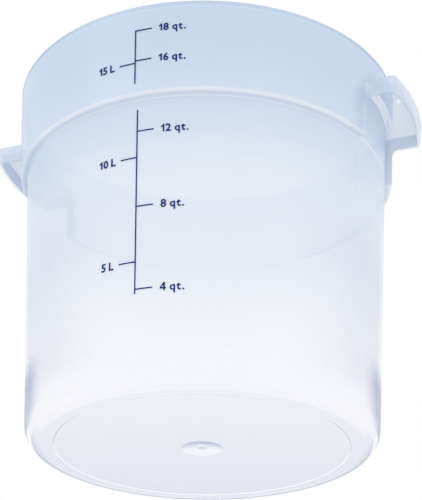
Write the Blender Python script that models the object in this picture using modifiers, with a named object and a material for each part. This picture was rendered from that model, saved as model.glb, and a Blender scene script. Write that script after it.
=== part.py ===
"""Round food storage container: one clear moulding with a volume scale printed on its front.

The moulding is a tapered round body, a wider collar above a shoulder, and two hollow ears. Each
ear is a flat plate with a rim hanging from its edge, and under it the wall stays in line with the
body, which leaves a pocket for the fingers. The scale is a film of ink: two strokes with ticks,
and a label beside each tick.

Metres, +Z up. The origin is the middle of the base, the ears lie along X, the scale faces -Y.
"""
import math

import bmesh
import bpy

# Moulding, all radii measured on its outside
HEIGHT = 0.3014
BODY_RADIUS = 0.1464            # just under the collar
BODY_TAPER = 0.0125             # the side draws in this much from there to the ground
COLLAR_HEIGHT = 0.0761
COLLAR_STEP = 0.0058            # the foot of the collar stands out this much from the body
COLLAR_FLARE = 0.004            # and the rim this much from the foot of the collar
WALL = 0.0028
FLOOR = 0.0032

# Roundings of the moulding
RIM_EDGE = 0.0008
RIM_LIP_SHARE = 0.25            # of the rim's edge that stays upright on its inner side
SHOULDER_ROUND = 0.0022
SHOULDER_FILLET = 0.0022
SHOULDER_FALL = 0.001           # the step's underside drops this much towards the body
FOOT_ROUND = 0.0128

# Underside: a ring that it stands on, and a dish with the moulding gate
FOOT_RING_WIDTH = 0.0085
BASE_LIFT = 0.0007
BASE_STEP_WIDTH = 0.0012
DISH_RADIUS = 0.016
DISH_DEPTH = 0.0018
DISH_SLOPE_WIDTH = 0.0016
DISH_ROUND = 0.0006
GATE_RADIUS = 0.0045
GATE_HEIGHT = 0.0011
GATE_SLOPE_WIDTH = 0.0008

# Ears
EAR_REACH = 0.0218              # how far the outer edge stands out from the tub's rim, at its top
EAR_DROP = 0.0284               # from the tub's rim down to the top of the plate
EAR_DRAFT = 0.0016              # the edge draws in this much towards its lower end
EAR_HALF_WIDTH = 0.0448
EAR_RIM_HEIGHT = 0.015
EAR_RIM_WALL = 0.0022           # at the lower end of the ear's rim, whose inner side is upright
EAR_CORNER = 0.004
EAR_EDGE = 0.0009
EAR_GUSSET = 0.0078             # radius that joins the ear's rim to the collar
POCKET_ROUND = 0.0055
EAR_HOLE_RADIUS = 0.0025
EAR_HOLE_INSET = 0.011          # from the outer edge to the hole's middle
EAR_HOLE_OFFSET = 0.0098        # to the side of the ear's middle

# Sizes that follow from those above
FOOT_RADIUS = BODY_RADIUS - BODY_TAPER
COLLAR_RADIUS = BODY_RADIUS + COLLAR_STEP
RIM_RADIUS = COLLAR_RADIUS + COLLAR_FLARE
SHOULDER_HEIGHT = HEIGHT - COLLAR_HEIGHT
EAR_RADIUS = RIM_RADIUS + EAR_REACH
EAR_TOP = HEIGHT - EAR_DROP

# Printed scale: a tick for each volume, quarts to the right and litres to the left
FULL_LITRES = 18.64             # what the tub holds up to its brim
QUART_SHARE = 0.946353          # of a litre
UNITS = {"quart": (QUART_SHARE, 1, "{} qt."), "litre": (1, -1, "{} L")}
UPPER_MARKS = ((18, "quart"), (16, "quart"), (15, "litre"))
LOWER_MARKS = ((12, "quart"), (8, "quart"), (4, "quart"), (10, "litre"), (5, "litre"))
STROKE_WIDTH = 0.0009
TICK_LENGTH = 0.0124
STROKE_GAP_ABOVE = 0.0085       # the shoulder stays bare this far above the collar's foot
STROKE_GAP_BELOW = 0.0105
STROKE_TAIL = 0.0035            # the stroke runs on below its lowest tick
LABEL_SIZE = 0.0088
LABEL_BOLD = 0.00016            # thickens each stroke of a figure, on either side
LABEL_SPACE = 0.0026            # between a number and its unit
FIGURE_GAP = 0.0009
QUART_LABEL_GAP = 0.0056
LITRE_LABEL_GAP = 0.0042
LABEL_RISE_SHARE = 0.34         # half the height of a figure, as a share of the label's size
INK_FILM = 0.0002
INK_GAP = 0.0003

# Outlines of the 1 with its flag and of the 4 with its eye: corners along and up, as shares
# of the label's size
DRAWN_SHARES = {
    "1": [
        [(0.17, 0), (0.30, 0), (0.30, 0.69), (0.20, 0.69), (0.15, 0.61),
         (0.09, 0.55), (0.02, 0.52), (0.02, 0.41), (0.10, 0.44), (0.17, 0.49)],
    ],
    "4": [
        [(0.28, 0), (0.41, 0), (0.41, 0.15), (0.49, 0.15), (0.49, 0.27), (0.41, 0.27),
         (0.41, 0.69), (0.29, 0.69), (0, 0.27), (0, 0.15), (0.28, 0.15)],
        [(0.28, 0.27), (0.28, 0.49), (0.13, 0.27)],
    ],
}

# How finely curves are divided, and how deep joined shapes run into each other
TURNS = 64
EAR_TURNS = 6
HOLE_TURNS = 16
CORNER_STEP = math.radians(24)
LABEL_STEPS = 2
TICK_CELLS = 4
SLICES = 400
EMBED = 0.004
BITE = 0.0004
OVERRUN = 0.006
MERGE = 0.000002
SHARP_ANGLE = math.radians(30)

# Finishes: colour, roughness, opacity
CLEAR_PLASTIC = ((0.80, 0.87, 0.95), 0.22, 0.45)
BLUE_INK = ((0.03, 0.09, 0.33), 0.55, 1.0)


def clear_scene():
    for thing in list(bpy.data.objects):
        bpy.data.objects.remove(thing, do_unlink=True)


def make_collection(name):
    collection = bpy.data.collections.new(name)
    bpy.context.scene.collection.children.link(collection)
    return collection


def make_material(name, finish):
    colour, roughness, opacity = finish
    material = bpy.data.materials.new(name)
    material.use_nodes = True
    shader = material.node_tree.nodes["Principled BSDF"]
    shader.inputs["Base Color"].default_value = (*colour, 1)
    shader.inputs["Roughness"].default_value = roughness
    shader.inputs["Metallic"].default_value = 0
    shader.inputs["Alpha"].default_value = opacity
    return material


def add_object(name, mesh, collection):
    thing = bpy.data.objects.new(name, mesh)
    collection.objects.link(thing)
    return thing


def as_cutter(thing):
    thing.hide_render = True
    thing.display_type = "WIRE"
    return thing


# Sizes that follow from the driving sizes
def body_radius(z):
    return FOOT_RADIUS + (BODY_RADIUS - FOOT_RADIUS) * z / SHOULDER_HEIGHT


def collar_radius(z):
    rise = (z - SHOULDER_HEIGHT) / (HEIGHT - SHOULDER_HEIGHT)
    return COLLAR_RADIUS + (RIM_RADIUS - COLLAR_RADIUS) * rise


def wall_radius(z):
    """Outside of the tub at a height, away from its ears."""
    return body_radius(z) if z < SHOULDER_HEIGHT else collar_radius(z)


def reach(radius, side):
    """How far along X a circle about the axis lies at a distance to the side."""
    return math.sqrt(radius * radius - side * side)


def arc_steps(sweep):
    return max(1, math.ceil(abs(sweep) / CORNER_STEP))


def corner_arc(before, corner, after, radius, steps=0):
    """Points of the arc that rounds the corner between two straight runs."""
    ax, az = before[0] - corner[0], before[1] - corner[1]
    bx, bz = after[0] - corner[0], after[1] - corner[1]
    a_length, b_length = math.hypot(ax, az), math.hypot(bx, bz)
    ax, az, bx, bz = ax / a_length, az / a_length, bx / b_length, bz / b_length
    opening = math.acos(max(-1, min(1, ax * bx + az * bz)))
    radius = min(radius, min(a_length, b_length) * math.tan(opening / 2))
    cut = radius / math.tan(opening / 2)
    middle_x, middle_z = ax + bx, az + bz
    middle_length = math.hypot(middle_x, middle_z)
    distance = radius / math.sin(opening / 2)
    centre = (corner[0] + middle_x / middle_length * distance,
              corner[1] + middle_z / middle_length * distance)
    start = math.atan2(corner[1] + az * cut - centre[1], corner[0] + ax * cut - centre[0])
    end = math.atan2(corner[1] + bz * cut - centre[1], corner[0] + bx * cut - centre[0])
    sweep = (end - start + math.pi) % math.tau - math.pi
    steps = steps or arc_steps(sweep)
    angles = [start + sweep * i / steps for i in range(steps + 1)]
    return [(centre[0] + radius * math.cos(a), centre[1] + radius * math.sin(a)) for a in angles]


def rounded(corners):
    """An open outline from corners (along, up, rounding); its ends stay sharp."""
    points = [corners[0][:2]]
    for before, corner, after in zip(corners, corners[1:], corners[2:]):
        if corner[2] > 0:
            points += corner_arc(before, corner, after, corner[2])
        else:
            points.append(corner[:2])
    return points + [corners[-1][:2]]


def turned(name, corners, collection):
    """A solid of revolution; the corners run down its outer side, from axis to axis."""
    points = rounded(corners)
    mesh = bpy.data.meshes.new(name)
    edges = [(i, i + 1) for i in range(len(points) - 1)]
    mesh.from_pydata([(r, 0, z) for r, z in points], edges, [])
    thing = add_object(name, mesh, collection)
    screw = thing.modifiers.new("turn", "SCREW")
    screw.steps = TURNS
    screw.render_steps = TURNS
    screw.use_merge_vertices = True
    screw.merge_threshold = MERGE
    screw.use_smooth_shade = True
    weld = thing.modifiers.new("close_poles", "WELD")
    weld.merge_threshold = MERGE
    return thing


def loft(name, rings, collection):
    """A closed solid through rings of as many points each, the first and last ones capped."""
    shape = bmesh.new()
    rows = [[shape.verts.new(point) for point in ring] for ring in rings]
    shape.faces.new(rows[0])
    shape.faces.new(rows[-1])
    for low, high in zip(rows, rows[1:]):
        for i in range(len(low)):
            j = (i + 1) % len(low)
            shape.faces.new((low[i], low[j], high[j], high[i]))
    bmesh.ops.recalc_face_normals(shape, faces=shape.faces)
    mesh = bpy.data.meshes.new(name)
    shape.to_mesh(mesh)
    shape.free()
    return add_object(name, mesh, collection)


def combine(thing, other, operation):
    join = thing.modifiers.new(other.name, "BOOLEAN")
    join.operation = operation
    join.solver = "EXACT"
    join.object = as_cutter(other)


# Outside of the moulding
def collar_solid(collection):
    """The collar as a full disc; its lower end dips into the body, below the fillet."""
    step = SHOULDER_HEIGHT - SHOULDER_FALL
    foot = step - SHOULDER_ROUND - SHOULDER_FILLET
    return turned("container", [
        (0, HEIGHT, 0),
        (RIM_RADIUS, HEIGHT, RIM_EDGE),
        (COLLAR_RADIUS, SHOULDER_HEIGHT, SHOULDER_ROUND),
        (body_radius(step), step, SHOULDER_FILLET),
        (body_radius(foot) - BITE, foot, 0),
        (0, foot, 0),
    ], collection)


def body_solid(collection):
    """The body with its underside; its cone runs on inside the collar, behind the pockets."""
    top = EAR_TOP + EMBED
    ring_inside = FOOT_RADIUS - FOOT_ROUND - FOOT_RING_WIDTH
    dish_top = BASE_LIFT + DISH_DEPTH
    return turned("body_solid", [
        (0, top, 0),
        (body_radius(top), top, 0),
        (FOOT_RADIUS, 0, FOOT_ROUND),
        (ring_inside, 0, 0),
        (ring_inside - BASE_STEP_WIDTH, BASE_LIFT, 0),
        (DISH_RADIUS, BASE_LIFT, DISH_ROUND),
        (DISH_RADIUS - DISH_SLOPE_WIDTH, dish_top, DISH_ROUND),
        (GATE_RADIUS, dish_top, 0),
        (GATE_RADIUS - GATE_SLOPE_WIDTH, dish_top - GATE_HEIGHT, 0),
        (0, dish_top - GATE_HEIGHT, 0),
    ], collection)


def ear_half_plan(radius, half_width, corner):
    """The +X half of the outline of both ears, seen from above, with as many points at any size."""
    reach_out = reach(radius, half_width)
    lean = math.atan2(half_width, reach_out)
    turn = [lean * (2 * i / EAR_TURNS - 1) for i in range(1, EAR_TURNS)]
    arc = [(radius * math.cos(a), radius * math.sin(a)) for a in turn]
    steps = arc_steps(math.pi / 2)
    low = corner_arc((0, -half_width), (reach_out, -half_width), arc[0], corner, steps)
    high = corner_arc(arc[-1], (reach_out, half_width), (0, half_width), corner, steps)
    return low + arc + high


def ear_ring(z, radius, half_width, corner):
    half = ear_half_plan(radius, half_width, corner)
    return [(x, y, z) for x, y in half] + [(-x, -y, z) for x, y in half]


def ear_bar(collection):
    """Both ears as one bar through the collar, its upper edge rounded."""
    rings = [ear_ring(EAR_TOP - EAR_RIM_HEIGHT, EAR_RADIUS - EAR_DRAFT, EAR_HALF_WIDTH, EAR_CORNER)]
    steps = arc_steps(math.pi / 2)
    for i in range(steps + 1):
        angle = math.pi / 2 * i / steps
        inset = EAR_EDGE * (1 - math.cos(angle))
        z = EAR_TOP - EAR_EDGE * (1 - math.sin(angle))
        rings.append(ear_ring(z, EAR_RADIUS - inset, EAR_HALF_WIDTH - inset, EAR_CORNER - inset))
    return loft("ear_bar", rings, collection)


def gusset_bar(collection):
    """Fills the corner between the rims of the ears and the collar with a hollow rounding."""
    top = EAR_TOP - EAR_RIM_HEIGHT + BITE
    foot = top - EAR_GUSSET
    inside = reach(collar_radius(foot), EAR_HALF_WIDTH) - BITE
    centre = inside + EAR_GUSSET
    steps = arc_steps(math.pi / 2)
    angles = [math.pi - math.pi / 2 * i / steps for i in range(steps + 1)]
    arc = [(centre + EAR_GUSSET * math.cos(a), foot + EAR_GUSSET * math.sin(a)) for a in angles]
    half = arc + [(centre, top + EMBED)]
    outline = half + [(-x, z) for x, z in reversed(half)]
    sides = (-EAR_HALF_WIDTH, EAR_HALF_WIDTH)
    return loft("gusset_bar", [[(x, y, z) for x, z in outline] for y in sides], collection)


def finger_pockets(collection):
    """What is cut from under the plates and out of the collar, down to past its foot."""
    top = EAR_TOP - WALL
    foot = SHOULDER_HEIGHT - SHOULDER_FALL - SHOULDER_ROUND - SHOULDER_FILLET - OVERRUN
    half_width = EAR_HALF_WIDTH - WALL
    arch = rounded([(-half_width, foot, 0), (-half_width, top, POCKET_ROUND),
                    (half_width, top, POCKET_ROUND), (half_width, foot, 0)])
    ends = (-EAR_RADIUS, EAR_RADIUS)
    pockets = loft("finger_pockets", [[(x, y, z) for y, z in arch] for x in ends], collection)
    pocket_radius = EAR_RADIUS - EAR_DRAFT - EAR_RIM_WALL
    limit = turned("pocket_limit", [
        (0, top + OVERRUN, 0),
        (pocket_radius, top + OVERRUN, 0),
        (pocket_radius, foot - OVERRUN, 0),
        (0, foot - OVERRUN, 0),
    ], collection)
    combine(pockets, limit, "INTERSECT")
    return pockets


def ear_hole(name, side, collection):
    """A drill through one plate; the ears are the same after half a turn."""
    bpy.ops.mesh.primitive_cylinder_add(
        vertices=HOLE_TURNS, radius=EAR_HOLE_RADIUS, depth=WALL + OVERRUN,
        location=(side * (EAR_RADIUS - EAR_HOLE_INSET), -side * EAR_HOLE_OFFSET, EAR_TOP - WALL / 2))
    drill = bpy.context.object
    drill.name = name
    for owner in list(drill.users_collection):
        owner.objects.unlink(drill)
    collection.objects.link(drill)
    return drill


# Inside of the moulding
def inner_shoulder():
    return SHOULDER_HEIGHT + WALL


def cavity_collar(collection):
    """The hollow of the collar as a full disc, flared where it rounds the rim's inner edge."""
    step = inner_shoulder() - SHOULDER_FALL
    foot = step - SHOULDER_ROUND - SHOULDER_FILLET
    rim = RIM_RADIUS - WALL
    return turned("cavity", [
        (0, HEIGHT + OVERRUN, 0),
        (rim + RIM_EDGE, HEIGHT + OVERRUN, 0),
        (rim + RIM_EDGE, HEIGHT - RIM_EDGE * RIM_LIP_SHARE, 0),
        (rim, HEIGHT - RIM_EDGE, RIM_EDGE),
        (collar_radius(inner_shoulder()) - WALL, inner_shoulder(), SHOULDER_ROUND),
        (body_radius(step) - WALL, step, SHOULDER_FILLET),
        (body_radius(foot) - WALL - BITE, foot, 0),
        (0, foot, 0),
    ], collection)


def cavity_body(collection):
    """The hollow of the body; a low boss on its floor keeps the wall over the dish."""
    top = EAR_TOP + EMBED
    inner_foot = body_radius(FLOOR) - WALL
    return turned("cavity_body", [
        (0, top, 0),
        (body_radius(top) - WALL, top, 0),
        (inner_foot, FLOOR, FOOT_ROUND - WALL),
        (DISH_RADIUS + DISH_SLOPE_WIDTH, FLOOR, DISH_ROUND),
        (DISH_RADIUS, FLOOR + DISH_DEPTH, DISH_ROUND),
        (0, FLOOR + DISH_DEPTH, 0),
    ], collection)


def pocket_backs(collection):
    """What stays solid inside the collar, behind the pockets, up to the top of the plates."""
    foot = inner_shoulder() - SHOULDER_FALL - SHOULDER_ROUND - SHOULDER_FILLET - OVERRUN
    half_width = EAR_HALF_WIDTH
    rounding = POCKET_ROUND + WALL
    arch = rounded([(-half_width, foot, 0), (-half_width, EAR_TOP, rounding),
                    (half_width, EAR_TOP, rounding), (half_width, foot, 0)])
    ends = (-RIM_RADIUS, RIM_RADIUS)
    return loft("pocket_backs", [[(x, y, z) for y, z in arch] for x in ends], collection)


def build_container(parts, cutters, material):
    container = collar_solid(parts)
    combine(container, ear_bar(cutters), "UNION")
    combine(container, gusset_bar(cutters), "UNION")
    combine(container, finger_pockets(cutters), "DIFFERENCE")
    combine(container, body_solid(cutters), "UNION")
    cavity = cavity_collar(cutters)
    combine(cavity, pocket_backs(cutters), "DIFFERENCE")
    combine(cavity, cavity_body(cutters), "UNION")
    combine(container, cavity, "DIFFERENCE")
    combine(container, ear_hole("right_ear_hole", 1, cutters), "DIFFERENCE")
    combine(container, ear_hole("left_ear_hole", -1, cutters), "DIFFERENCE")
    settle(container, material)
    return container


def evaluated_mesh(thing):
    bpy.context.view_layer.update()
    graph = bpy.context.evaluated_depsgraph_get()
    return bpy.data.meshes.new_from_object(thing.evaluated_get(graph))


def settle(thing, material):
    """Keeps the finished mesh in place of the modifiers, shaded smooth with its edges sharp."""
    mesh = evaluated_mesh(thing)
    thing.modifiers.clear()
    thing.data = mesh
    mesh.name = thing.name
    shape = bmesh.new()
    shape.from_mesh(mesh)
    bmesh.ops.remove_doubles(shape, verts=shape.verts, dist=MERGE)
    shape.to_mesh(mesh)
    shape.free()
    mesh.shade_smooth()
    mesh.set_sharp_from_angle(angle=SHARP_ANGLE)
    mesh.materials.clear()
    mesh.materials.append(material)


# Volumes
def inner_radius(z):
    """Inside of the tub at a height, with its rounded foot, away from its ears."""
    if z >= inner_shoulder():
        return collar_radius(z) - WALL
    radius = body_radius(z) - WALL
    rounding = FOOT_ROUND - WALL
    short = FLOOR + rounding - z
    if short > 0:
        radius -= rounding - math.sqrt(rounding * rounding - short * short)
    return radius


def slice_volumes():
    """What thin slices of the tub hold, from the floor up to the brim."""
    slice_height = (HEIGHT - FLOOR) / SLICES
    middles = [FLOOR + slice_height * (i + 1 / 2) for i in range(SLICES)]
    return [math.pi * inner_radius(middle) ** 2 * slice_height for middle in middles]


def fill_height(litres):
    """How high a volume stands in the tub, the full tub being FULL_LITRES."""
    volumes = slice_volumes()
    left = sum(volumes) * litres / FULL_LITRES
    full_slices = 0
    while left > volumes[full_slices]:
        left -= volumes[full_slices]
        full_slices += 1
    return FLOOR + (HEIGHT - FLOOR) / SLICES * (full_slices + left / volumes[full_slices])


# Ink
def wrap_on_wall(mesh):
    """Bends a flat print, x along it, y up and z off the wall, round the front of the tub."""
    for vertex in mesh.vertices:
        along, height, proud = vertex.co
        angle = along / wall_radius(height)
        radius = wall_radius(height) + INK_GAP + proud
        vertex.co = (radius * math.sin(angle), -radius * math.cos(angle), height)


def stroke_cells(bottom, top, ticks):
    """Rectangles of an upright stroke and its ticks, ticks being (height, side) pairs."""
    half = STROKE_WIDTH / 2
    levels = {bottom, top}
    for height, side in ticks:
        levels |= {height - half, height + half}
    levels = sorted(levels)
    cells = []
    for low, high in zip(levels, levels[1:]):
        cells.append((-half, half, low, high))
        middle = (low + high) / 2
        for height, side in ticks:
            if abs(middle - height) > half:
                continue
            stops = [side * (half + TICK_LENGTH * i / TICK_CELLS) for i in range(TICK_CELLS + 1)]
            cells += [(min(a, b), max(a, b), low, high) for a, b in zip(stops, stops[1:])]
    return cells


def build_stroke(name, bottom, top, ticks, parts, material):
    shape = bmesh.new()
    corners = {}

    def corner(x, y):
        if (x, y) not in corners:
            corners[(x, y)] = shape.verts.new((x, y, 0))
        return corners[(x, y)]

    for left, right, low, high in stroke_cells(bottom, top, ticks):
        shape.faces.new((corner(left, low), corner(right, low), corner(right, high), corner(left, high)))
    front = bmesh.ops.extrude_face_region(shape, geom=list(shape.faces))
    lifted = [item for item in front["geom"] if isinstance(item, bmesh.types.BMVert)]
    bmesh.ops.translate(shape, vec=(0, 0, INK_FILM), verts=lifted)
    bmesh.ops.recalc_face_normals(shape, faces=shape.faces)
    mesh = bpy.data.meshes.new(name)
    shape.to_mesh(mesh)
    shape.free()
    wrap_on_wall(mesh)
    mesh.materials.append(material)
    return add_object(name, mesh, parts)


def drawn(sign):
    curve = bpy.data.curves.new("figure", "CURVE")
    curve.dimensions = "2D"
    curve.fill_mode = "BOTH"
    for shares in DRAWN_SHARES[sign]:
        outline = curve.splines.new("POLY")
        outline.points.add(len(shares) - 1)
        for point, (along, up) in zip(outline.points, shares):
            point.co = (along * LABEL_SIZE, up * LABEL_SIZE, 0, 1)
        outline.use_cyclic_u = True
    return curve


def written(sign):
    curve = bpy.data.curves.new("figure", "FONT")
    curve.body = sign
    curve.size = LABEL_SIZE
    curve.offset = LABEL_BOLD
    curve.resolution_u = LABEL_STEPS
    return curve


def flat_figure(sign):
    """One sign of a label as a flat film with its left edge at zero, and its width."""
    curve = drawn(sign) if sign in DRAWN_SHARES else written(sign)
    curve.extrude = INK_FILM / 2
    figure = add_object("figure", curve, bpy.context.scene.collection)
    mesh = evaluated_mesh(figure)
    bpy.data.objects.remove(figure, do_unlink=True)
    shape = bmesh.new()
    shape.from_mesh(mesh)
    bmesh.ops.remove_doubles(shape, verts=shape.verts, dist=MERGE)
    bmesh.ops.recalc_face_normals(shape, faces=shape.faces)
    left = min(vertex.co.x for vertex in shape.verts)
    right = max(vertex.co.x for vertex in shape.verts)
    bmesh.ops.translate(shape, vec=(-left, 0, INK_FILM / 2), verts=shape.verts)
    shape.to_mesh(mesh)
    shape.free()
    return mesh, right - left


def build_label(name, text, height, side, parts, material):
    """A label beside a tick, to its right for side 1; each sign is a film of its own."""
    figures = []
    length = 0
    for sign in text:
        if sign == " ":
            length += LABEL_SPACE - FIGURE_GAP
            continue
        mesh, width = flat_figure(sign)
        figures.append((sign, mesh, length))
        length += width + FIGURE_GAP
    length -= FIGURE_GAP
    tick_end = STROKE_WIDTH / 2 + TICK_LENGTH
    start = tick_end + QUART_LABEL_GAP if side > 0 else -tick_end - LITRE_LABEL_GAP - length
    for sign, mesh, place in figures:
        for vertex in mesh.vertices:
            vertex.co.x += start + place
            vertex.co.y += height - LABEL_SIZE * LABEL_RISE_SHARE
        wrap_on_wall(mesh)
        mesh.name = f"{name}_{'dot' if sign == '.' else sign.lower()}"
        mesh.materials.clear()
        mesh.materials.append(material)
        add_object(mesh.name, mesh, parts)


def build_marks(marks, parts, material):
    """The labels of one stroke; gives the height and side of each of its ticks."""
    ticks = []
    for count, unit in marks:
        litres, side, wording = UNITS[unit]
        height = fill_height(count * litres)
        build_label(f"mark_{count}_{unit}", wording.format(count), height, side, parts, material)
        ticks.append((height, side))
    return ticks


def build_scale(parts, material):
    """Two strokes, each with its own marks, above and below the bare shoulder."""
    upper = build_marks(UPPER_MARKS, parts, material)
    lower = build_marks(LOWER_MARKS, parts, material)
    build_stroke("scale_stroke_upper", SHOULDER_HEIGHT + STROKE_GAP_ABOVE,
                 max(upper)[0] + STROKE_WIDTH / 2, upper, parts, material)
    build_stroke("scale_stroke_lower", min(lower)[0] - STROKE_TAIL,
                 SHOULDER_HEIGHT - STROKE_GAP_BELOW, lower, parts, material)


def main():
    clear_scene()
    parts = make_collection("food_storage_container")
    cutters = make_collection("cutters")
    build_container(parts, cutters, make_material("clear_plastic", CLEAR_PLASTIC))
    build_scale(parts, make_material("blue_ink", BLUE_INK))


main()
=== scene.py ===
import math

import bmesh
import bpy
import numpy as np
from mathutils import Matrix, Vector


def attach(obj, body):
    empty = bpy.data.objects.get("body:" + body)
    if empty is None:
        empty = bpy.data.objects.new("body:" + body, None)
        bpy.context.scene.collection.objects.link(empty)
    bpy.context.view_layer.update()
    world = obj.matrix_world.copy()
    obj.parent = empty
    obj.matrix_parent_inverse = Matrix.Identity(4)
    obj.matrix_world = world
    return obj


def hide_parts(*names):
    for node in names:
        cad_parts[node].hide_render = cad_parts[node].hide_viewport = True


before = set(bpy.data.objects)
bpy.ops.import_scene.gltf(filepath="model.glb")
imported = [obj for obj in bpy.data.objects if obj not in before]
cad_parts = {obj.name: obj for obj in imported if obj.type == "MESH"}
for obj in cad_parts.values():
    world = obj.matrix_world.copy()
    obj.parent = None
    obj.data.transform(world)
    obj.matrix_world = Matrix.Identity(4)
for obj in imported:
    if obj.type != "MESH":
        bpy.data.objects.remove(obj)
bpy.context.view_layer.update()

# metres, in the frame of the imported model: Z up, the ears along X, the print towards -Y
print("frame loaded:", len(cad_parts), "nodes")


class Sock:
    # wraps a socket or a number, so that sums on it add their Math nodes
    def __init__(self, paint, value):
        self.paint, self.value = paint, value

    def math(self, operation, *others):
        values = [self.value] + [o.value if isinstance(o, Sock) else o for o in others]
        return self.paint.add("ShaderNodeMath", {"operation": operation}, dict(enumerate(values)))

    def __add__(self, other):
        return self.math("ADD", other)

    def __radd__(self, other):
        return self.math("ADD", other)

    def __mul__(self, other):
        return self.math("MULTIPLY", other)

    def __rmul__(self, other):
        return self.math("MULTIPLY", other)

    def __sub__(self, other):
        return self.math("SUBTRACT", other)

    def __rsub__(self, other):
        return Sock(self.paint, other).math("SUBTRACT", self)

    def __truediv__(self, other):
        return self.math("DIVIDE", other)

    def __pow__(self, other):
        return self.math("POWER", other)


class Paint:
    # a material or a world whose nodes come from add()
    def __init__(self, owner):
        owner.use_nodes = True
        self.owner, self.tree = owner, owner.node_tree
        self.tree.nodes.clear()

    def add(self, kind, settings=None, inputs=None, output=0):
        node = self.tree.nodes.new(kind)
        for key, value in (settings or {}).items():
            if key == "stops":  # of a colour ramp: (place, colour) pairs
                ramp = node.color_ramp
                while len(ramp.elements) < len(value):
                    ramp.elements.new(0.5)  # anywhere, as it is placed below
                for element, (place, colour) in zip(ramp.elements, value):
                    element.position, element.color = place, (*colour, 1)
            else:
                setattr(node, key, value)
        for key, value in (inputs or {}).items():
            value = value.value if isinstance(value, Sock) else value
            if isinstance(value, bpy.types.NodeSocket):
                self.tree.links.new(value, node.inputs[key])
            else:
                node.inputs[key].default_value = value
        return Sock(self, node.outputs[output])

    def mixColour(self, factor, a, b):
        # the node has sockets for other kinds of value too, so the colour ones are named by their place
        return self.add("ShaderNodeMix", {"data_type": "RGBA"}, {0: factor, 6: a, 7: b}, 2)

    def mixShader(self, factor, a, b):
        return self.add("ShaderNodeMixShader", {}, {0: factor, 1: a, 2: b})

    def smooth(self, value, low, high):
        # 0 up to low, 1 from high on, eased between them
        return self.add("ShaderNodeMapRange", {"interpolation_type": "SMOOTHSTEP"},
                        {"Value": value, "From Min": low, "From Max": high})

    def band(self, value, low, crest, high):
        # 1 at the crest, 0 up to low and from high on
        return self.smooth(value, low, crest) * (1 - self.smooth(value, crest, high))

    def ramp(self, value, shares):
        # from (place, share) pairs, with straight runs between them
        stops = [(place, (share,) * 3) for place, share in shares]
        return self.add("ShaderNodeValToRGB", {"stops": stops}, {0: value})

    def noise(self, place, scale, detail):
        return self.add("ShaderNodeTexNoise", {}, {"Vector": place, "Scale": scale, "Detail": detail})

    def bump(self, height, strength, depth):
        return self.add("ShaderNodeBump", {}, {"Strength": strength, "Distance": depth, "Height": height})

    def finish(self, shader, kind="ShaderNodeOutputMaterial"):
        out = self.tree.nodes.new(kind)
        self.tree.links.new(shader.value, out.inputs["Surface"])
        return self.owner


def linear(*rgb):
    # 0-255 screen values to a shader's linear colour, with its alpha
    return (*(c / 255 / 12.92 if c <= 10 else ((c / 255 + 0.055) / 1.055) ** 2.4 for c in rgb), 1)


clearPlastic = {
    # by share of the height, ground to rim: how far the milk's colour goes towards blue, and how much the
    # milk covers; more of both towards the rim, less towards the ground
    "rise": [(0.00, 0.00), (0.12, 0.09), (0.22, 0.17), (0.37, 0.34), (0.47, 0.39), (0.57, 0.48),
             (0.69, 0.74), (0.83, 0.93), (0.90, 1.00)],
    "cover": [(0.00, 0.05), (0.03, 0.10), (0.12, 0.30), (0.22, 0.48), (0.36, 0.66), (0.57, 0.84)],
    "clear": (254, 254, 255), "line": (130, 152, 192), "blue": (187, 208, 231), "pale": (247, 248, 251),
    "roughness": 0.30, "ior": 1.49, "specular": 0.3,
    "drift": 0.05, "driftScale": 9.0, "driftDetail": 2.0,    # how far the blue wanders up and down
    "grainScale": 420.0, "grainDetail": 3.0, "grainBump": 0.06, "grainDepth": 0.0003,
    "haze": 0.03,                                  # least cover of any wall
    "sheen": 0.22, "sheenPower": 5, "facingBlend": 0.5,
    "outerShare": (0.30, 0.40),                    # blueShare from which a face counts as the outer skin
    "innerRise": 0.25, "innerFrom": (0.14, 0.22),  # how much more the inner skin covers, and from what height
    # painted light: the ears' faces turned towards the pale colour, for the light their undersides lack
    "earPaintedLight": 0.22,
    # painted highlight and painted shade in thin bands along the shoulder and under the rim: from, middle and
    # to, in metres up, and how much lighter or dimmer
    "paintedHighlightBands": [(0.2246, 0.2251, 0.2276, 0.66), (0.2221, 0.2229, 0.2238, 0.42), (0.2960, 0.2968, 0.2976, 0.15)],
    "paintedShadeBands": [(0.2240, 0.2244, 0.2248, 0.04), (0.2203, 0.2217, 0.2223, 0.03)],
    "rim": (0.2966, 0.2992, 0.3030),
    # painted shade, by how far a surface turns from the eye, 0 to 1: from, to and how much
    "rimPaintedShade": (0.30, 0.65, 0.26), "rimPaintedShadeLeast": 0.10,
    "collarPaintedShade": (0.84, 0.94, 0.10), "footPaintedShade": (0.58, 0.84, 0.50), "dishShade": (0.58, 0.76, 0.06),
    "sideShade": (0.15, 0.58, 0.12), "sideShadeEnds": (0.78, 0.90),
    # where those lie, in metres up or out from the axis
    "collarFrom": (0.220, 0.226), "footUpTo": (0.034, 0.060), "dishWithin": (0.0165, 0.018),
    "sidesFrom": (0.012, 0.034), "sidesUpTo": (0.11, 0.18),
    # by the upward share of a face's normal
    "level": (0.35, 0.70), "downwards": (0.80, 0.95),
}


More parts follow.
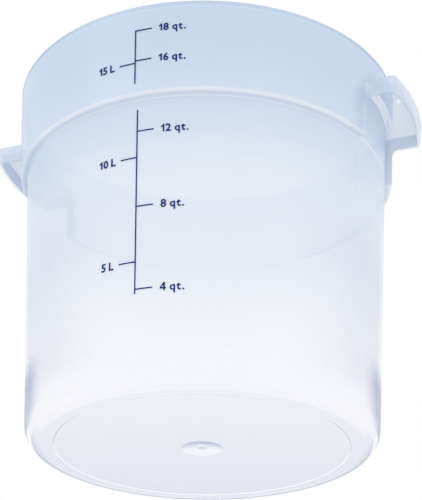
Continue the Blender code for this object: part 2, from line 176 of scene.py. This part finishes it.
def makeClearPlastic():
    # a clear shader under a milky one that covers more towards the rim, and a dim clear one that paints
    # shade:
    # thin dark bands, dark edges and a dark crescent in the base's recess
    s = clearPlastic
    p = Paint(bpy.data.materials.new("clearMouldedPlastic"))
    place = p.add("ShaderNodeTexCoord", output="Object")
    x, y, z = (p.add("ShaderNodeSeparateXYZ", {}, {0: place}, axis) for axis in "XYZ")
    facing = p.add("ShaderNodeLayerWeight", {}, {"Blend": s["facingBlend"]}, "Facing")
    normal = p.add("ShaderNodeNewGeometry", output="Normal")
    normalUp = p.add("ShaderNodeSeparateXYZ", {}, {0: normal}, "Z")
    front = 1 - p.add("ShaderNodeNewGeometry", output="Backfacing")
    share, edgeShade, ear = (p.add("ShaderNodeAttribute", {"attribute_name": name}, output="Fac")
                        for name in ("blueShare", "deepEdge", "earSkin"))
    skin = p.smooth(share, *s["outerShare"])

    def turned(key):
        near, far, much = s[key]
        return p.smooth(facing, near, far) * much

    def bands(key):
        return sum(p.band(z, low, crest, high) * much for low, crest, high, much in s[key])

    collar, foot = p.smooth(z, *s["collarFrom"]), 1 - p.smooth(z, *s["footUpTo"])
    low = (1 - p.smooth(z, *s["sidesUpTo"])) * p.smooth(z, *s["sidesFrom"])
    upright = 1 - p.smooth(normalUp.math("ABSOLUTE"), *s["level"])
    # painted shade: the lower flanks dimmer where they turn from the eye
    sides = turned("sideShade") * (1 - p.smooth(facing, *s["sideShadeEnds"])) * low * upright
    # painted shade: dark edges at the collar and foot where they turn from the eye
    paintedOutlineShade = turned("collarPaintedShade") * collar + turned("footPaintedShade") * foot
    dished = (1 - p.smooth((x * x + y * y).math("SQRT"), *s["dishWithin"])) * foot
    # painted shade: a dark crescent where the recess in the base slopes away from the eye
    paintedDishShade = turned("dishShade") * p.smooth(normalUp * -1, *s["downwards"]) * dished
    # painted shade: a dark line along the rim, darkest where it turns from the eye
    rim = p.band(z, *s["rim"]) * (turned("rimPaintedShade") + s["rimPaintedShadeLeast"])
    # all the painted shade together, mixed towards the dim clear shader
    paintedShade = skin * front * (bands("paintedShadeBands") + rim + sides + paintedOutlineShade + paintedDishShade) + edgeShade * front

    drift = p.noise(place, s["driftScale"], s["driftDetail"])
    height = z / tub["height"] + (drift - 0.5) * s["drift"]
    blue, cover = (p.ramp(height, s[key]) for key in ("rise", "cover"))
    within = (1 - skin) * front * p.smooth(z, *s["innerFrom"]) * s["innerRise"]
    milk = (share * front + within) * cover
    sheen = facing ** s["sheenPower"] * s["sheen"] + s["haze"]  # the same on either side of a wall
    # painted highlight in the thin bands and painted light on the ears, both turning the milk towards the
    # pale colour
    hue = blue * (1 - bands("paintedHighlightBands")) * (1 - ear * s["earPaintedLight"])
    grain = p.noise(place, s["grainScale"], s["grainDetail"])
    milky = p.add("ShaderNodeBsdfPrincipled", {}, {
        "Base Color": p.mixColour(hue, linear(*s["pale"]), linear(*s["blue"])), "Roughness": s["roughness"],
        "IOR": s["ior"], "Specular IOR Level": s["specular"],
        "Normal": p.bump(grain, s["grainBump"], s["grainDepth"])})
    clear, paintedShadeShader = (p.add("ShaderNodeBsdfTransparent", {}, {"Color": linear(*s[key])})
                    for key in ("clear", "line"))
    return p.finish(p.mixShader(paintedShade, p.mixShader(milk + sheen * (1 - milk), clear, milky), paintedShadeShader))


blueInk = {
    "colour": (2, 46, 116), "worn": (10, 60, 134), "wornFrom": (0.52, 0.72),
    "roughness": 0.6, "roughnessSpread": 0.2, "specular": 0.04,
    "speckScale": 900.0, "speckDetail": 4.0, "speckBump": 0.2, "speckDepth": 0.0001,
}


def makeBlueInk():
    s = blueInk
    p = Paint(bpy.data.materials.new("blueScreenInk"))
    speck = p.noise(p.add("ShaderNodeTexCoord", output="Object"), s["speckScale"], s["speckDetail"])
    colour = p.mixColour(p.smooth(speck, *s["wornFrom"]), linear(*s["colour"]), linear(*s["worn"]))
    bump = p.bump(speck, s["speckBump"], s["speckDepth"])
    roughness = speck * s["roughnessSpread"] + (s["roughness"] - s["roughnessSpread"] / 2)
    return p.finish(p.add("ShaderNodeBsdfPrincipled", {}, {
        "Base Color": colour, "Roughness": roughness, "Specular IOR Level": s["specular"], "Normal": bump}))


# the moulding again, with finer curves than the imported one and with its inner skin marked
tub = {
    "height": 0.3014, "bodyRadius": 0.1464, "footRadius": 0.1339, "collarRadius": 0.1522, "rimRadius": 0.1562,
    "shoulder": 0.2253, "wall": 0.0028, "floor": 0.0032, "rimEdge": 0.0008,
    "rimLipShare": 0.25,   # of the rim's edge that stays upright on its inner side
    "shoulderRound": 0.0022, "shoulderFall": 0.001, "footRound": 0.0128,
    "ringWidth": 0.0085, "baseLift": 0.0007, "baseStep": 0.0012,
    "dishRadius": 0.016, "dishDepth": 0.0018, "dishSlope": 0.0016, "domePoints": 12,
    "gateRadius": 0.0045, "gateHeight": 0.0011, "gateSlope": 0.0008,
    "turns": 256, "arcStep": math.radians(11), "sharp": math.radians(28),
    "support": 0.0008, "longRun": 4,                  # a run of over four supports is a long one
    "over": 0.006,                                    # how far cutters run past what they cut
    "bite": 0.0004, "embed": 0.004,                   # and joined shapes into each other
    "weld": 0.000002,
}
ears = {
    "radius": 0.178, "halfWidth": 0.0448, "top": 0.273, "rimHeight": 0.015, "rimWall": 0.0022,
    "draft": 0.0016, "corner": 0.004, "edge": 0.0009, "gusset": 0.0078, "pocketRound": 0.0055,
    "holeRadius": 0.0025, "holeInset": 0.011, "holeOffset": 0.0098,
    "turns": 28, "cornerSteps": 7, "edgePoints": 7, "gussetPoints": 9, "holeTurns": 32,
}


def coneRadius(z):
    # outside of the body's cone at a height
    return tub["footRadius"] + (tub["bodyRadius"] - tub["footRadius"]) * z / tub["shoulder"]


def flareRadius(z):
    # outside of the collar at a height
    rise = (z - tub["shoulder"]) / (tub["height"] - tub["shoulder"])
    return tub["collarRadius"] + (tub["rimRadius"] - tub["collarRadius"]) * rise


def arcCorner(before, corner, after, radius, steps=0):
    # centre lies on the corner's bisector, radius / sin(half angle) away; points turn evenly about it
    corner = np.array(corner, float)
    a, b = np.subtract(before, corner), np.subtract(after, corner)
    a, b = a / np.hypot(*a), b / np.hypot(*b)
    half = np.arccos(np.clip(a @ b, -1, 1)) / 2
    centre = corner + (a + b) / np.hypot(*(a + b)) * radius / np.sin(half)
    ends = corner + np.array([a, b]) * radius / np.tan(half) - centre
    start, end = np.arctan2(ends[:, 1], ends[:, 0])
    sweep = (end - start + np.pi) % (2 * np.pi) - np.pi
    steps = steps or max(1, math.ceil(abs(sweep) / tub["arcStep"]))
    turn = start + sweep * np.linspace(0, 1, steps + 1)
    return centre + radius * np.stack([np.cos(turn), np.sin(turn)], 1)


def outline(corners):
    # a line through (along, up, rounding) corners, its ends left sharp
    rows = [np.array([corners[0][:2]])]
    for before, corner, after in zip(corners, corners[1:], corners[2:]):
        rounding = corner[2]
        if rounding:
            rows.append(arcCorner(before[:2], corner[:2], after[:2], rounding))
        else:
            rows.append(np.array([corner[:2]]))
    return np.concatenate(rows + [np.array([corners[-1][:2]])])


def supported(line):
    # two more points near the ends of each long run, which keep its shading flat
    a, b = line[:-1], line[1:]
    length = np.hypot(*(b - a).T)[:, None]
    step = np.where(length > tub["longRun"] * tub["support"], (b - a) / length * tub["support"], np.nan)
    points = np.stack([a, a + step, b - step], 1).reshape(-1, 2)
    return np.concatenate([points[~np.isnan(points).any(1)], line[-1:]])


def meshFrom(name, points, faces):
    mesh = bpy.data.meshes.new(name)
    mesh.from_pydata(points.tolist(), [], faces)
    thing = bpy.data.objects.new(name, mesh)
    bpy.context.scene.collection.objects.link(thing)
    return thing


def lathe(name, corners):
    # point (i, j) = (r_i sin t_j, -r_i cos t_j, z_i), with one point at each end on the axis
    line = supported(outline(corners))
    turn = np.arange(tub["turns"]) * 2 * np.pi / tub["turns"]
    ring = np.stack([np.sin(turn), -np.cos(turn)], 1)
    inner = line[1:-1]
    count = len(turn)
    heights = np.broadcast_to(inner[:, None, 1:], (len(inner), count, 1))
    grid = np.concatenate([inner[:, None, :1] * ring, heights], 2)
    points = np.concatenate([grid.reshape(-1, 3), [[0, 0, line[0, 1]], [0, 0, line[-1, 1]]]])
    here = np.arange(count)
    there = np.roll(here, -1)
    rows = np.arange(len(inner) - 1)[:, None] * count
    below = rows + count
    quads = np.stack([rows + here, below + here, below + there, rows + there], -1).reshape(-1, 4)
    last = (len(inner) - 1) * count
    first = np.stack([np.full_like(here, len(points) - 2), here, there], 1)
    final = np.stack([np.full_like(here, len(points) - 1), last + there, last + here], 1)
    return meshFrom(name, points, quads.tolist() + first.tolist() + final.tolist())


def stack(name, rings):
    # closed rings of as many points each, joined in order, with a face over either end
    count = rings.shape[1]
    here = np.arange(count)
    there = np.roll(here, -1)
    rows = np.arange(len(rings) - 1)[:, None] * count
    above = rows + count
    quads = np.stack([rows + here, rows + there, above + there, above + here], -1).reshape(-1, 4)
    caps = [here[::-1].tolist(), (here + (len(rings) - 1) * count).tolist()]
    return meshFrom(name, rings.reshape(-1, 3), quads.tolist() + caps)


def across(name, line, reach, along="Y"):
    # an upright outline of (sideways, up) points, drawn out to both sides of the middle plane
    zero = np.zeros(len(line))
    flat = np.stack([line[:, 0], zero, line[:, 1]] if along == "Y" else [zero, line[:, 0], line[:, 1]], 1)
    shift = np.array([0, reach, 0] if along == "Y" else [reach, 0, 0])
    thing = stack(name, np.stack([flat - shift, flat + shift]))
    if along == "X":
        thing.data.flip_normals()
    return thing


def arch(halfWidth, top, foot, rounding):
    # a doorway's outline, its two upper corners rounded
    return outline([(-halfWidth, foot, 0), (-halfWidth, top, rounding),
                    (halfWidth, top, rounding), (halfWidth, foot, 0)])


def dome(edge, foot, rise, inner=0.0):
    # a shallow round recess: height foot + rise (1 - (r / edge)^2), from its edge in to the inner radius
    radii = np.linspace(edge, inner, tub["domePoints"])
    return [(r, foot + rise * (1 - (r / edge) ** 2), 0) for r in radii.tolist()]


def earRing(z, radius, halfWidth, corner):
    # both ears from above, alike after half a turn: straight sides and an arc about the axis at each end
    out = math.sqrt(radius ** 2 - halfWidth ** 2)
    turn = math.atan2(halfWidth, out) * np.linspace(-1, 1, ears["turns"] + 1)[1:-1]
    arc = radius * np.stack([np.cos(turn), np.sin(turn)], 1)
    before = arcCorner((0, -halfWidth), (out, -halfWidth), arc[0], corner, ears["cornerSteps"])
    after = arcCorner(arc[-1], (out, halfWidth), (0, halfWidth), corner, ears["cornerSteps"])
    half = np.concatenate([before, arc, after])
    both = np.concatenate([half, -half])
    return np.concatenate([both, np.full((len(both), 1), z)], 1)


def earBar():
    # level k: inset by edge (1 - cos a), edge (1 - sin a) under the top, a from 0 to a quarter turn
    e = ears
    low = earRing(e["top"] - e["rimHeight"], e["radius"] - e["draft"], e["halfWidth"], e["corner"])
    angles = np.linspace(0, np.pi / 2, e["edgePoints"])
    insets = e["edge"] * (1 - np.cos(angles))
    levels = e["top"] - e["edge"] * (1 - np.sin(angles))
    return stack("earBar", np.stack([low] + [
        earRing(z, e["radius"] - i, e["halfWidth"] - i, e["corner"] - i) for z, i in zip(levels, insets)]))


def gussetBar():
    # a quarter arc on either side, centre + gusset (cos a, sin a), from the collar out to the ear's rim
    e = ears
    top = e["top"] - e["rimHeight"] + tub["bite"]
    foot = top - e["gusset"]
    centre = math.sqrt(flareRadius(foot) ** 2 - e["halfWidth"] ** 2) - tub["bite"] + e["gusset"]
    turn = np.linspace(np.pi, np.pi / 2, e["gussetPoints"])
    arc = np.stack([centre + e["gusset"] * np.cos(turn), foot + e["gusset"] * np.sin(turn)], 1)
    half = np.concatenate([arc, [[centre, top + tub["embed"]]]])
    return across("gussetBar", np.concatenate([half, (half * [-1, 1])[::-1]]), e["halfWidth"])


def stepLevels(shoulder):
    # heights at which a shoulder's step meets the body, and at which the fillet under it has ended
    step = shoulder - tub["shoulderFall"]
    return step, step - 2 * tub["shoulderRound"]


def collarShape():
    t = tub
    top, shoulder = t["height"], t["shoulder"]
    step, foot = stepLevels(shoulder)
    return lathe("clearTub", [
        (0, top, 0), (t["rimRadius"], top, t["rimEdge"]), (t["collarRadius"], shoulder, t["shoulderRound"]),
        (coneRadius(step), step, t["shoulderRound"]), (coneRadius(foot) - t["bite"], foot, 0), (0, foot, 0)])


def bodyShape():
    t = tub
    top = ears["top"] + t["embed"]
    ringInside = t["footRadius"] - t["footRound"] - t["ringWidth"]
    gateFace = t["baseLift"] + t["dishDepth"] - t["gateHeight"]
    return lathe("bodyShape", [
        (0, top, 0), (coneRadius(top), top, 0), (t["footRadius"], 0, t["footRound"]), (ringInside, 0, 0),
        (ringInside - t["baseStep"], t["baseLift"], 0),
        *dome(t["dishRadius"], t["baseLift"], t["dishDepth"], t["gateRadius"]),
        (t["gateRadius"] - t["gateSlope"], gateFace, 0), (0, gateFace, 0)])


def pocketShape():
    e, under, foot = ears, ears["top"] - tub["wall"], stepLevels(tub["shoulder"])[1]
    doorway = arch(e["halfWidth"] - tub["wall"], under, foot - tub["over"], e["pocketRound"])
    return across("pockets", doorway, e["radius"], "X")


def pocketLimit():
    # the pockets end at the inner side of the ears' rim
    e = ears
    top = e["top"] - tub["wall"] + tub["over"]
    foot = stepLevels(tub["shoulder"])[1] - 2 * tub["over"]
    radius = e["radius"] - e["draft"] - e["rimWall"]
    return lathe("pocketLimit", [(0, top, 0), (radius, top, 0), (radius, foot, 0), (0, foot, 0)])


def pocketBacks():
    # what the pockets' back walls leave of the hollow
    foot = stepLevels(tub["shoulder"] + tub["wall"])[1]
    doorway = arch(ears["halfWidth"], ears["top"], foot - tub["over"], ears["pocketRound"] + tub["wall"])
    return across("pocketBacks", doorway, tub["rimRadius"], "X")


def hollowShape():
    # the collar's inside, open above the rim
    t, wall = tub, tub["wall"]
    top, rim, shoulder = t["height"], t["rimRadius"] - wall, t["shoulder"] + wall
    step, foot = stepLevels(shoulder)
    return lathe("hollow", [
        (0, top + t["over"], 0), (rim + t["rimEdge"], top + t["over"], 0),
        (rim + t["rimEdge"], top - t["rimEdge"] * t["rimLipShare"], 0),
        (rim, top - t["rimEdge"], t["rimEdge"]),
        (flareRadius(shoulder) - wall, shoulder, t["shoulderRound"]),
        (coneRadius(step) - wall, step, t["shoulderRound"]),
        (coneRadius(foot) - wall - t["bite"], foot, 0), (0, foot, 0)])


def hollowBody():
    t, wall, floor = tub, tub["wall"], tub["floor"]
    top = ears["top"] + t["embed"]
    return lathe("hollowBody", [
        (0, top, 0), (coneRadius(top) - wall, top, 0),
        (coneRadius(floor) - wall, floor, t["footRound"] - wall),
        *dome(t["dishRadius"] + t["dishSlope"], floor, t["dishDepth"])])


def drill(side):
    # circle, hole radius (cos t, sin t), beside the ear's middle, from under its plate to above it
    e = ears
    turn = np.arange(e["holeTurns"]) * 2 * np.pi / e["holeTurns"]
    x = side * (e["radius"] - e["holeInset"]) + e["holeRadius"] * np.cos(turn)
    y = -side * e["holeOffset"] + e["holeRadius"] * np.sin(turn)
    levels = e["top"] - tub["wall"] - tub["over"], e["top"] + tub["over"]
    return stack("drill", np.stack([np.stack([x, y, np.full(len(turn), z)], 1) for z in levels]))


def combine(thing, other, operation):
    # a live Boolean, whose other shape is hidden until it is removed
    step = thing.modifiers.new(other.name, "BOOLEAN")
    step.operation, step.solver, step.object = operation, "EXACT", other
    other.hide_render = other.hide_viewport = True
    return other


def frozen(thing):
    # the mesh with its modifiers applied, welded where a cut left two points in one place
    graph = bpy.context.evaluated_depsgraph_get()
    mesh = bpy.data.meshes.new_from_object(thing.evaluated_get(graph))
    shape = bmesh.new()
    shape.from_mesh(mesh)
    bmesh.ops.remove_doubles(shape, verts=shape.verts, dist=tub["weld"])
    bmesh.ops.dissolve_degenerate(shape, dist=tub["weld"], edges=shape.edges)
    shape.to_mesh(mesh)
    shape.free()
    return mesh


def buildMoulding():
    # the collar gets its ears and loses the pockets, is joined to the body, and is then hollowed and drilled
    moulding, pockets, hollow = collarShape(), pocketShape(), hollowShape()
    helpers = [combine(moulding, earBar(), "UNION"), combine(moulding, gussetBar(), "UNION"),
               combine(pockets, pocketLimit(), "INTERSECT"), combine(moulding, pockets, "DIFFERENCE"),
               combine(moulding, bodyShape(), "UNION"), combine(hollow, pocketBacks(), "DIFFERENCE"),
               combine(hollow, hollowBody(), "UNION"), combine(moulding, hollow, "DIFFERENCE")]
    helpers += [combine(moulding, drill(side), "DIFFERENCE") for side in (1, -1)]
    moulding.data = frozen(moulding)
    moulding.modifiers.clear()
    for helper in helpers:
        bpy.data.objects.remove(helper)
    return moulding


skins = {
    # blueShare, how much a face's milk covers, where it isn't 1
    # painted light and shade among these: the pockets' side walls cover more, as painted shade; the
    # shoulder's level step covers less, as a painted highlight; the ears, and most of all their undersides,
    # cover less, as painted light; the hole's walls stay clear, as a painted highlight
    "inner": 0.12, "shadedJamb": 0.2, "highlitShelf": 0.9, "ear": 0.95, "under": 0.60, "hole": 0.0,
    # painted shade: a dim line on the underside of the ears' rim and on the gate
    "rimFootShade": 0.06, "gateShade": 0.10,    # deepEdge
    "probe": 0.001,                           # metres off a face
    "steep": 0.6,                             # least share of a normal that counts as sideways or upwards
}


def markSkins(moulding):
    # a point just off a face tells what it bounds: the hollow, a pocket or the open air
    mesh, s, t, e = moulding.data, skins, tub, ears
    wall, margin = t["wall"], t["wall"] / 2
    centres, normals = np.zeros(len(mesh.polygons) * 3), np.zeros(len(mesh.polygons) * 3)
    mesh.polygons.foreach_get("center", centres)
    mesh.polygons.foreach_get("normal", normals)
    centres, normals = centres.reshape(-1, 3), normals.reshape(-1, 3)
    x, y, z = (centres + normals * s["probe"]).T
    r = np.hypot(x, y)
    faceRadius, faceUp = np.hypot(*centres[:, :2].T), centres[:, 2]
    sideways, level = abs(normals[:, 1]) > s["steep"], abs(normals[:, 2]) > s["steep"]
    downwards = level & (normals[:, 2] < 0)

    beside = (abs(y) < e["halfWidth"] - margin) & (z < e["top"] - margin)
    belowShoulder = t["shoulder"] - 2 * wall
    pocket = beside & (r > coneRadius(z) - margin) & (z > belowShoulder) & (r < e["radius"])
    hollowRadius = np.where(z > t["shoulder"] + margin, flareRadius(z), coneRadius(z)) - margin
    inside = (r < hollowRadius) & (z > t["floor"] / 2) & (z < t["height"]) & ~pocket
    ear = (faceRadius > flareRadius(faceUp) + margin / 2) & (z > t["shoulder"]) & ~pocket
    atSide = abs(abs(centres[:, 1]) - e["halfWidth"]) < margin
    # the pockets' side walls, which get painted shade
    shadedJamb = inside & sideways & atSide & (z < e["top"]) & (z > belowShoulder)
    # the shoulder's level step, which gets a painted highlight
    highlitShelf = ~inside & level & (abs(faceUp - t["shoulder"]) < t["shoulderRound"]) & ~ear & ~pocket
    # the undersides of the ears and pockets, which get painted light
    under = (ear | pocket) & downwards
    fromHole = np.hypot(abs(x) - e["radius"] + e["holeInset"], y * np.sign(x) + e["holeOffset"])
    # the hole's walls, left clear as a painted highlight
    hole = (fromHole < e["holeRadius"]) & ~level & (z > e["top"] - 2 * wall)
    # the next two masks get painted shade: the underside of the ears' rim and the gate
    rimFoot = ear & downwards & (z < e["top"] - e["rimHeight"] / 2)
    gate = (r < t["gateRadius"]) & (z < t["floor"] / 2)

    share = np.ones(len(z))
    for mask, value in ((inside, "inner"), (shadedJamb, "shadedJamb"), (highlitShelf, "highlitShelf"), (ear | pocket, "ear"),
                        (under, "under"), (hole, "hole")):
        share[mask] = s[value]
    shades = {"blueShare": share, "earSkin": (ear | pocket).astype(float),
              "deepEdge": rimFoot * s["rimFootShade"] + gate * s["gateShade"]}
    for name, values in shades.items():
        mesh.attributes.new(name, "FLOAT", "FACE").data.foreach_set("value", values.astype(np.float32))
    return int(inside.sum())


clear, ink = makeClearPlastic(), makeBlueInk()
for name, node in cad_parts.items():
    node.data.materials.clear()
    node.data.materials.append(clear if name == "container" else ink)
moulding = buildMoulding()
marked = markSkins(moulding)
moulding.data.shade_smooth()
moulding.data.set_sharp_from_angle(angle=tub["sharp"])
moulding.data.materials.clear()
moulding.data.materials.append(clear)
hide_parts("container")
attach(moulding, "root")
print("moulding:", len(moulding.data.polygons), "faces,", marked, "of them inside")


stage = {"floorHalf": 3.0, "floorDrop": 0.0006, "floor": (250, 250, 251)}


def makeFloor():
    # pale from above, where it takes the object's shadow, and clear from below
    h, z = stage["floorHalf"], -stage["floorDrop"]
    mesh = bpy.data.meshes.new("paleFloor")
    mesh.from_pydata([(-h, -h, z), (h, -h, z), (h, h, z), (-h, h, z)], [], [(0, 1, 2, 3)])
    p = Paint(bpy.data.materials.new("paleFloor"))
    pale = p.add("ShaderNodeBsdfDiffuse", {}, {"Color": linear(*stage["floor"])})
    gone = p.add("ShaderNodeBsdfTransparent")
    under = p.add("ShaderNodeNewGeometry", output="Backfacing")
    mesh.materials.append(p.finish(p.mixShader(under, pale, gone)))
    floor = bpy.data.objects.new("paleFloor", mesh)
    bpy.context.scene.collection.objects.link(floor)


studio = {
    "shown": 1.0, "light": 0.9,   # the world's strength to the eye and in gloss, and where it lights surfaces
    "aim": (0, 0, 0.15),          # the lamps point here
    "keyLamp": {"place": (-1.1, -1.5, 1.5), "size": 1.2, "power": 4.5},
    "fillLamp": {"place": (1.5, -0.9, 0.9), "size": 1.4, "power": 2.3},
}


def makeWorld():
    p = Paint(bpy.data.worlds.new("studio"))
    seen, gloss, glass = (p.add("ShaderNodeLightPath", output=ray)
                          for ray in ("Is Camera Ray", "Is Glossy Ray", "Is Transmission Ray"))
    shown = seen.math("MAXIMUM", gloss).math("MAXIMUM", glass)
    strength = shown * (studio["shown"] - studio["light"]) + studio["light"]
    white = p.add("ShaderNodeBackground", {}, {"Color": (1, 1, 1, 1), "Strength": strength})
    bpy.context.scene.world = p.finish(white, "ShaderNodeOutputWorld")


def makeLamp(name):
    s = studio[name]
    lamp = bpy.data.lights.new(name, "AREA")
    lamp.shape, lamp.size, lamp.energy = "DISK", s["size"], s["power"]
    thing = bpy.data.objects.new(name, lamp)
    thing.location = s["place"]
    thing.rotation_euler = (Vector(studio["aim"]) - Vector(s["place"])).to_track_quat("-Z", "Y").to_euler()
    bpy.context.scene.collection.objects.link(thing)


# fitted to the outlines in the photograph: millimetres and degrees, with focal and imageHeight in its pixels
shot = {
    "focal": 1488.7, "imageHeight": 500, "distance": 1202.1, "aim": 169.49, "side": 4.6,
    "pitch": 27.109, "roll": 0.791, "turn": 20.511,
    "sensor": 36, "clip": (0.05, 20),  # clip is in metres
}


def makeCamera():
    s = shot
    pitch, roll, turn = (math.radians(s[key]) for key in ("pitch", "roll", "turn"))
    look = Vector((0, math.cos(pitch), math.sin(pitch)))
    eye = Vector((s["side"], 0, s["aim"])) - look * s["distance"]
    right = Vector((1, 0, 0))
    up = right.cross(look)
    right, up = right * math.cos(roll) + up * math.sin(roll), up * math.cos(roll) - right * math.sin(roll)
    pose = Matrix((right, up, -look)).transposed().to_4x4()
    pose.translation = eye / 1000
    data = bpy.data.cameras.new("camera")
    data.sensor_fit, data.sensor_width = "AUTO", s["sensor"]
    data.lens = s["focal"] * s["sensor"] / s["imageHeight"]
    data.clip_start, data.clip_end = s["clip"]
    camera = bpy.data.objects.new("camera", data)
    camera.matrix_world = Matrix.Rotation(turn, 4, "Z") @ pose
    bpy.context.scene.collection.objects.link(camera)
    bpy.context.scene.camera = camera


makeFloor()
makeWorld()
makeLamp("keyLamp")
makeLamp("fillLamp")
makeCamera()
bpy.context.scene.view_settings.view_transform = "Standard"
print("stage, lamps and camera ready")
